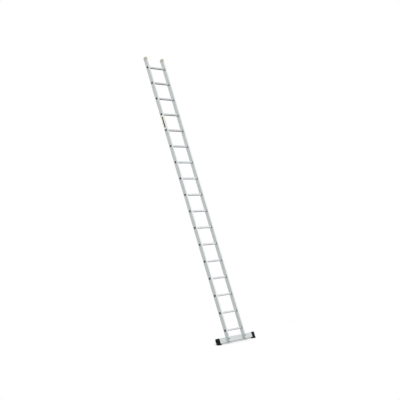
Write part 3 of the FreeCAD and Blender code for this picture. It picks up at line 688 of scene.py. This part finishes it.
def make_foot_cap(side, sign):
    """A moulded cap over the bar's end: a line round its mouth, three grip grooves and a dished
    outer end. The profile gives how far each ring is from the mouth and its swell, in
    millimetres."""
    node = f"foot_cap_{side}"
    low, high = extent(node)
    centre = (low + high) / 2
    mouth = low.x if sign > 0 else high.x
    length = high.x - low.x
    turn = 4 * MM
    least_turn = 1 * MM
    turn_steps = 6
    end = length / MM
    end_turn = 2
    end_steps = 5
    wall = 2.05
    mouth_line = ((4, 0), (4.3, -0.5), (5.3, -0.5), (5.6, 0))
    grip_groove = ((0, 0), (0.4, -0.8), (1.8, -0.8), (2.2, 0))
    grip_starts = (47, 52, 57)
    dish = ((end, -5), (end - 0.5, -5.6), (end - 0.5, -8))
    profile = [(0, -0.6), (0.6, 0), *mouth_line]
    for start in grip_starts:
        profile += [(start + along, swell) for along, swell in grip_groove]
    for step in range(end_steps + 1):
        angle = math.pi / 2 * step / end_steps
        profile.append(
            (end - end_turn + end_turn * math.sin(angle), end_turn * math.cos(angle) - end_turn)
        )
    profile += dish
    inside = [(end - 3, -wall), (0.5, -wall), (0, -wall + 0.4)]
    rings = []
    for along, swell in inside + profile:
        outline = rounded_outline(
            high.y - low.y + 2 * swell * MM, high.z - low.z + 2 * swell * MM,
            max(turn + swell * MM, least_turn), turn_steps,
        )
        rings.append(centred(outline, mouth + sign * along * MM, centre.y, centre.z, 0))
    mesh = bmesh.new()
    close_ends(mesh, loft(mesh, rings), turn_steps + 1)
    make_piece(f"moulded_{node}", mesh, BLACK_PLASTIC, [node])


def make_sole(side):
    """A rubber wedge, flat on the floor, with tread grooves from end to end of its underside."""
    node = f"sole_{side}"
    low, high = extent(node)
    top = high.z
    centre = (low.y + high.y) / 2
    half = (high.y - low.y) / 2

    def floor_under(n):
        return (-n * BACK.z - LADDER_ORIGIN.z) / UP.z

    edge = 0.9 * MM
    tread_groove = ((1.6, 0), (1.2, 2.2), (-1.2, 2.2), (-1.6, 0))
    outline = [(half - edge, 0, 0), (half, 0, edge), (half, 1, -edge), (half - edge, 1, 0)]
    tread_count = 6
    tread_pitch = 2 * half / tread_count
    for tread in range(1, tread_count):
        middle_line = half - tread * tread_pitch
        for offset, depth in tread_groove:
            outline.append((middle_line + offset * MM, 1, -depth * MM))
    outline += [(edge - half, 1, 0), (-half, 1, -edge), (-half, 0, edge), (edge - half, 0, 0)]

    turn = 4 * MM
    turn_steps = 5
    stations = []
    for step in range(turn_steps + 1):
        angle = math.pi / 2 * step / turn_steps
        stations.append((low.x + turn * (1 - math.cos(angle)), turn * (1 - math.sin(angle))))
    stations += [(low.x + high.x - x, inset) for x, inset in reversed(stations)]
    rings = []
    for x, inset in stations:
        squeeze = 1 - inset / half
        ring = []
        for across, share, drop in outline:
            n = centre + across * squeeze
            s = top + (floor_under(n) - top) * share - drop
            ring.append((x, n, s))
        rings.append(ring)
    mesh = bmesh.new()
    rows = loft(mesh, rings)
    mesh.faces.new(rows[0])
    mesh.faces.new(rows[-1])
    make_piece(f"treaded_{node}", mesh, SOLE_RUBBER, [node])


for side, sign in SIDES.items():
    make_foot_cap(side, sign)
    make_sole(side)


# --- Fasteners -----------------------------------------------------------------------------------


ROUND_STEPS = 48
HEXAGON_FLATS = 13 * MM
PAST_CORNERS = 9


def turned_ring(x, n, s, radius, flats=None):
    """A circle across n, cut to a hexagon with two level flats where it is wider than that."""
    points = []
    for step in range(ROUND_STEPS):
        angle = 2 * math.pi * step / ROUND_STEPS
        reach = radius
        if flats:
            off_flat = (angle % (math.pi / 3)) - math.pi / 6
            reach = min(radius, flats / 2 / math.cos(off_flat))
        points.append((x + reach * math.cos(angle), n, s + reach * math.sin(angle)))
    return points


def make_turned(name, node, profile, material, flats=None, closed=False):
    """A turned or hexagonal fastener in each of the node's two places. The profile gives n and
    radius in millimetres, n from the node's front. A radius of PAST_CORNERS leaves the hexagon
    whole."""
    low, high = extent(node)
    centre = (low + high) / 2
    widest = max(radius for n, radius in profile) * MM
    if flats:
        widest = min(widest, flats / 2 / math.cos(math.pi / 6))
    mesh = bmesh.new()
    for x in (low.x + widest, high.x - widest):
        rings = [
            turned_ring(x, low.y + n * MM, centre.z, radius * MM, flats) for n, radius in profile
        ]
        rows = loft(mesh, rings, closed)
        if not closed:
            close_ends(mesh, rows, 0)
    make_piece(name, mesh, material, [node])


def bolt_profile(length):
    """A chamfered hexagon head on its washer face, then the shank, which is threaded at its end."""
    head = 5.3
    washer_face = 6.2
    shank = 4
    thread_root = 3.45
    thread_turns = 8
    thread_pitch = 1.25
    thread_start = length - 11.5
    profile = [
        (0, 5.2), (0, 5.9), (0.15, 6.4), (0.75, PAST_CORNERS), (4.8, PAST_CORNERS),
        (4.9, washer_face), (head, washer_face), (head, shank), (length - 12, shank),
    ]
    for turn in range(thread_turns):
        start = thread_start + turn * thread_pitch
        profile += [
            (start, thread_root), (start + 0.25, thread_root), (start + 0.6, shank),
            (start + 0.75, shank),
        ]
    profile += [(length - 0.8, 3.6), (length, 3)]
    return profile


bolt_low, bolt_high = extent("bolts")
bolt_length = (bolt_high.y - bolt_low.y) / MM
make_turned(
    "hexagon_bolts", "bolts", bolt_profile(bolt_length), DARK_STEEL,
    HEXAGON_FLATS,
)
WASHER = [
    (0, 4.5), (0.25, 4.25), (1.35, 4.25), (1.6, 4.5),
    (1.6, 7.6), (1.5, 7.9), (1.3, 8), (0.3, 8), (0.1, 7.9), (0, 7.6),
]
make_turned(
    "stamped_front_washers", "front_washers", WASHER, DARK_STEEL, closed=True
)
make_turned(
    "stamped_rear_washers", "rear_washers", WASHER, BRIGHT_STEEL, closed=True
)
LOCK_NUT = [
    (0, 4.6), (0.5, 4.05), (7.2, 4.05), (7.6, 4.3), (8, 5), (8, 5.5), (7.8, 5.9), (7.4, 6.1),
    (6.3, 6.15), (5.8, 6.6), (5.3, PAST_CORNERS), (0.7, PAST_CORNERS), (0.2, 6.5), (0, 6),
]
make_turned(
    "nylon_insert_nuts", "lock_nuts", LOCK_NUT, BRIGHT_STEEL, HEXAGON_FLATS,
    closed=True,
)
rivet_low, rivet_high = extent("foot_rivets")
rivet_length = (rivet_high.y - rivet_low.y) / MM
rivet_head = rivet_length - 1.3
RIVET = [
    (0, 1.3), (0.4, 2), (rivet_head, 2), (rivet_head, 3.8),
    (rivet_length - 1.15, 4), (rivet_length - 0.9, 3.9), (rivet_length - 0.45, 3.1),
    (rivet_length - 0.12, 2.1), (rivet_length, 1.3), (rivet_length - 0.35, 1.0),
    (rivet_length - 0.35, 0.4),
]
make_turned("domed_foot_rivets", "foot_rivets", RIVET, RIVET_METAL)


# --- CAD nodes that stay -------------------------------------------------------------------------


for node, material in (
    ("stile_left", STILE_METAL), ("stile_right", STILE_METAL), ("stabiliser_bar", BAR_METAL),
    ("stile_spacers", BRIGHT_STEEL), ("bar_spacers", BRIGHT_STEEL), ("label", LABEL_VINYL),
):
    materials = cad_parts[node].data.materials
    materials.clear()
    materials.append(material)


# --- Studio --------------------------------------------------------------------------------------


def make_floor(centre):
    """A plain pale disc that fades out towards its rim, and that the metal does not mirror. It is
    a little under the soles, so that the two surfaces don't fight."""
    radius = 2.4
    fade_start = radius * 0.5
    fade_end = radius * 0.95
    cloud_size = 0.4
    rim_points = 96
    gap_under_soles = 0.5 * MM
    material, tree, shader = new_material("pale_floor")
    mesh = bmesh.new()
    bmesh.ops.create_circle(mesh, cap_ends=True, radius=radius, segments=rim_points)
    data = bpy.data.meshes.new("floor")
    mesh.to_mesh(data)
    mesh.free()
    data.materials.append(material)
    floor = bpy.data.objects.new("floor", data)
    floor.location = (centre.x, centre.y, -gap_under_soles)
    floor.visible_glossy = False
    bpy.context.scene.collection.objects.link(floor)
    where = add(tree, "TexCoord").outputs["Object"]
    away = add(tree, "VectorMath", {0: where}, operation="LENGTH").outputs["Value"]
    clouds = noise(tree, where, cloud_size, 3.0)
    colour = blend(tree, clouds, grey(0.96), grey(0.98))
    fade = remap(tree, away, fade_start, fade_end, 1, 0)
    shader.inputs["Roughness"].default_value = 0.9
    connect(tree, shader, Base_Color=colour, Alpha=fade)


def make_surroundings():
    """A white studio. What lights the ladder, and is reflected in it, is a bright ceiling over grey
    walls, and dark ground, a little higher on the right, round a pale floor. Their edges are
    heights of a direction, from -1 straight down to 1 straight up."""
    white = (1, 1, 1, 1)
    ground_rise = 0.13
    ground_end, walls_start = -0.5, -0.19
    ceiling_start, ceiling_end = 0.15, 0.45
    floor_fades, floor_gone = -0.8, -0.66
    ground_light, wall_light, ceiling_light, floor_light = 0.01, 0.69, 0.32, 0.6
    world = bpy.data.worlds.new("studio")
    bpy.context.scene.world = world
    world.use_nodes = True
    tree = world.node_tree
    tree.nodes.clear()
    direction = add(tree, "TexCoord").outputs["Generated"]
    parts = add(tree, "SeparateXYZ", {"Vector": direction})
    height = parts.outputs["Z"]
    ground_slope = maths(tree, "MULTIPLY", parts.outputs["X"], ground_rise)
    over_ground = maths(tree, "SUBTRACT", height, ground_slope)
    walls = remap(tree, over_ground, ground_end, walls_start, ground_light, wall_light)
    ceiling = remap(tree, height, ceiling_start, ceiling_end, 0, ceiling_light)
    pale_floor = remap(tree, height, floor_fades, floor_gone, floor_light, 0)
    upper = maths(tree, "ADD", walls, ceiling)
    strength = maths(tree, "ADD", upper, pale_floor)
    light = add(tree, "Background", {"Color": white, "Strength": strength})
    backdrop = add(tree, "Background", {"Color": white, "Strength": 1.0})
    seen = add(tree, "LightPath").outputs["Is Camera Ray"]
    mixed = add(tree, "MixShader", {0: seen, 1: light.outputs[0], 2: backdrop.outputs[0]})
    tree.links.new(mixed.outputs[0], add(tree, "OutputWorld").inputs["Surface"])


def make_softbox(name, target, direction, distance, size, power, mirrored=True):
    """A square area light that looks at the target, and may be left out of reflections."""
    data = bpy.data.lights.new(name, "AREA")
    data.shape = "SQUARE"
    data.size = size
    data.energy = power
    lamp = bpy.data.objects.new(name, data)
    away = Vector(direction).normalized()
    lamp.location = target + away * distance
    lamp.rotation_euler = away.to_track_quat("Z", "Y").to_euler()
    lamp.visible_camera = False
    lamp.visible_glossy = mirrored
    bpy.context.scene.collection.objects.link(lamp)


def make_camera(centre):
    """Looks almost level at the ladder from its front left."""
    azimuth = math.radians(49.28)
    pitch = math.radians(-1.55)
    distance = 15.15
    to_right, to_below = 0.1, 0.083
    right = Vector((math.cos(azimuth), -math.sin(azimuth), 0))
    forward = Vector((
        math.sin(azimuth) * math.cos(pitch), math.cos(azimuth) * math.cos(pitch), math.sin(pitch)
    ))
    target = centre + right * to_right - Vector((0, 0, to_below))
    data = bpy.data.cameras.new("camera")
    data.lens = 84.75
    data.sensor_width = 36
    camera = bpy.data.objects.new("camera", data)
    camera.location = target - forward * distance
    camera.rotation_euler = forward.to_track_quat("-Z", "Y").to_euler()
    bpy.context.scene.collection.objects.link(camera)
    bpy.context.scene.camera = camera


cad_middle = (cad_box[0] + cad_box[1]) / 2
make_floor(cad_middle)
make_surroundings()
make_softbox("front_softbox", cad_middle, (0.8, -0.55, 0.25), distance=7, size=5, power=25)
make_softbox(
    "left_softbox", cad_middle, (-0.8, -0.6, 0.25), distance=7, size=5, power=180, mirrored=False
)
make_camera(cad_middle)
bpy.context.scene.view_settings.view_transform = "Standard"
